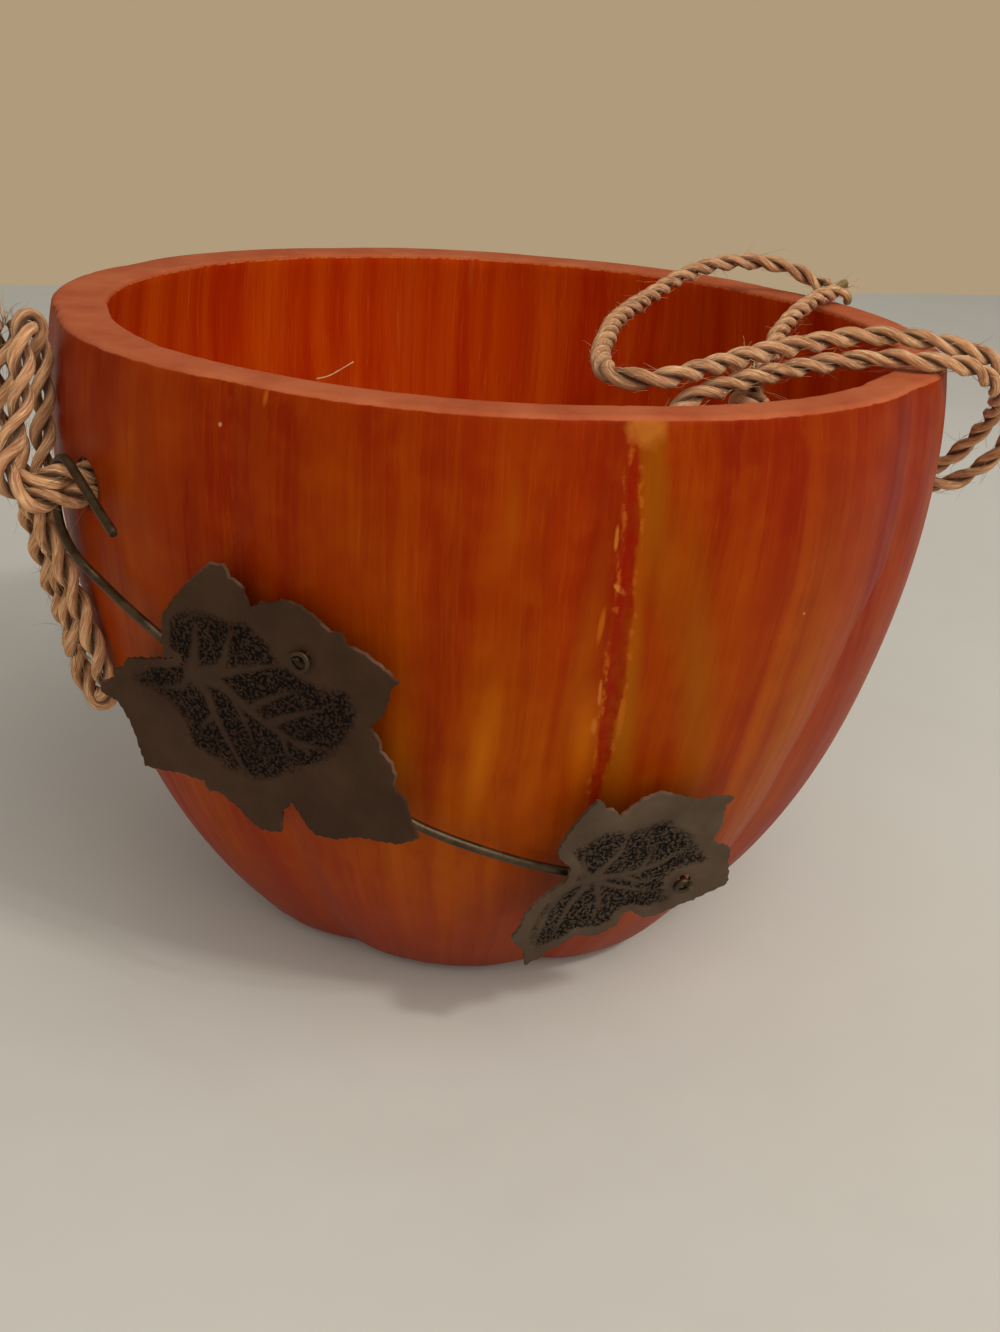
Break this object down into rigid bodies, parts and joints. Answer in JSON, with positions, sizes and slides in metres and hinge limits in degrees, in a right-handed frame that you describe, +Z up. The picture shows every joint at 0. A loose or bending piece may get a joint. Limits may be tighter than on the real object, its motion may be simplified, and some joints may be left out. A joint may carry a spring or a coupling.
{
  "type": "pumpkin bowl",
  "caption": "Lobed round wooden bowl like a pumpkin shell, with twine ties through side holes and a hooked wire garland of embossed metal leaves.",
  "frame": {"origin": "middle of the flat foot that the bowl stands on", "axes": "+Z up along the bowl's axis, -Y towards the side with the leaves, +X to the right of a viewer who faces that side"},
  "size_m": [0.2341, 0.2219, 0.1588],
  "materials": {
    "stained_wood": "orange-red stain under clear lacquer, sanded bare rim",
    "jute_twine": "raw two-ply jute, hairy",
    "dark_wire": "dark bronze annealed wire",
    "dark_sheet": "dark brown patina, speckled, edges rubbed bare"
  },
  "bodies": {
    "bowl": {"bowl": "stained_wood", "left_knot": "jute_twine", "right_knot": "jute_twine", "left_twine_upper": "jute_twine", "left_twine_lower": "jute_twine", "right_twine_inner": "jute_twine", "right_twine_loop": "jute_twine", "right_twine_tail": "jute_twine", "tail_knot": "jute_twine"},
    "garland": {"garland_wire": "dark_wire", "leaf_branch_wire": "dark_wire"},
    "large_leaf": {"large_leaf": "dark_sheet"},
    "small_leaf": {"small_leaf": "dark_sheet"}
  },
  "joints": [
    {"name": "garland_swing", "type": "hinge", "parent": "bowl", "child": "garland", "pos_m": [-0.08518, -0.07148, 0.1192], "axis": [-0.766, -0.6428, 0], "range_deg": [0, 45]},
    {"name": "large_leaf_turn", "type": "hinge", "parent": "garland", "child": "large_leaf", "pos_m": [-0.03078, -0.10624, 0.10034], "axis": [-0.4185, -0.8975, -0.1392], "range_deg": [-12, 12]},
    {"name": "small_leaf_turn", "type": "hinge", "parent": "garland", "child": "small_leaf", "pos_m": [0.04818, -0.0877, 0.04627], "axis": [0.3145, -0.9133, -0.2588], "range_deg": [-15, 15]}
  ]
}
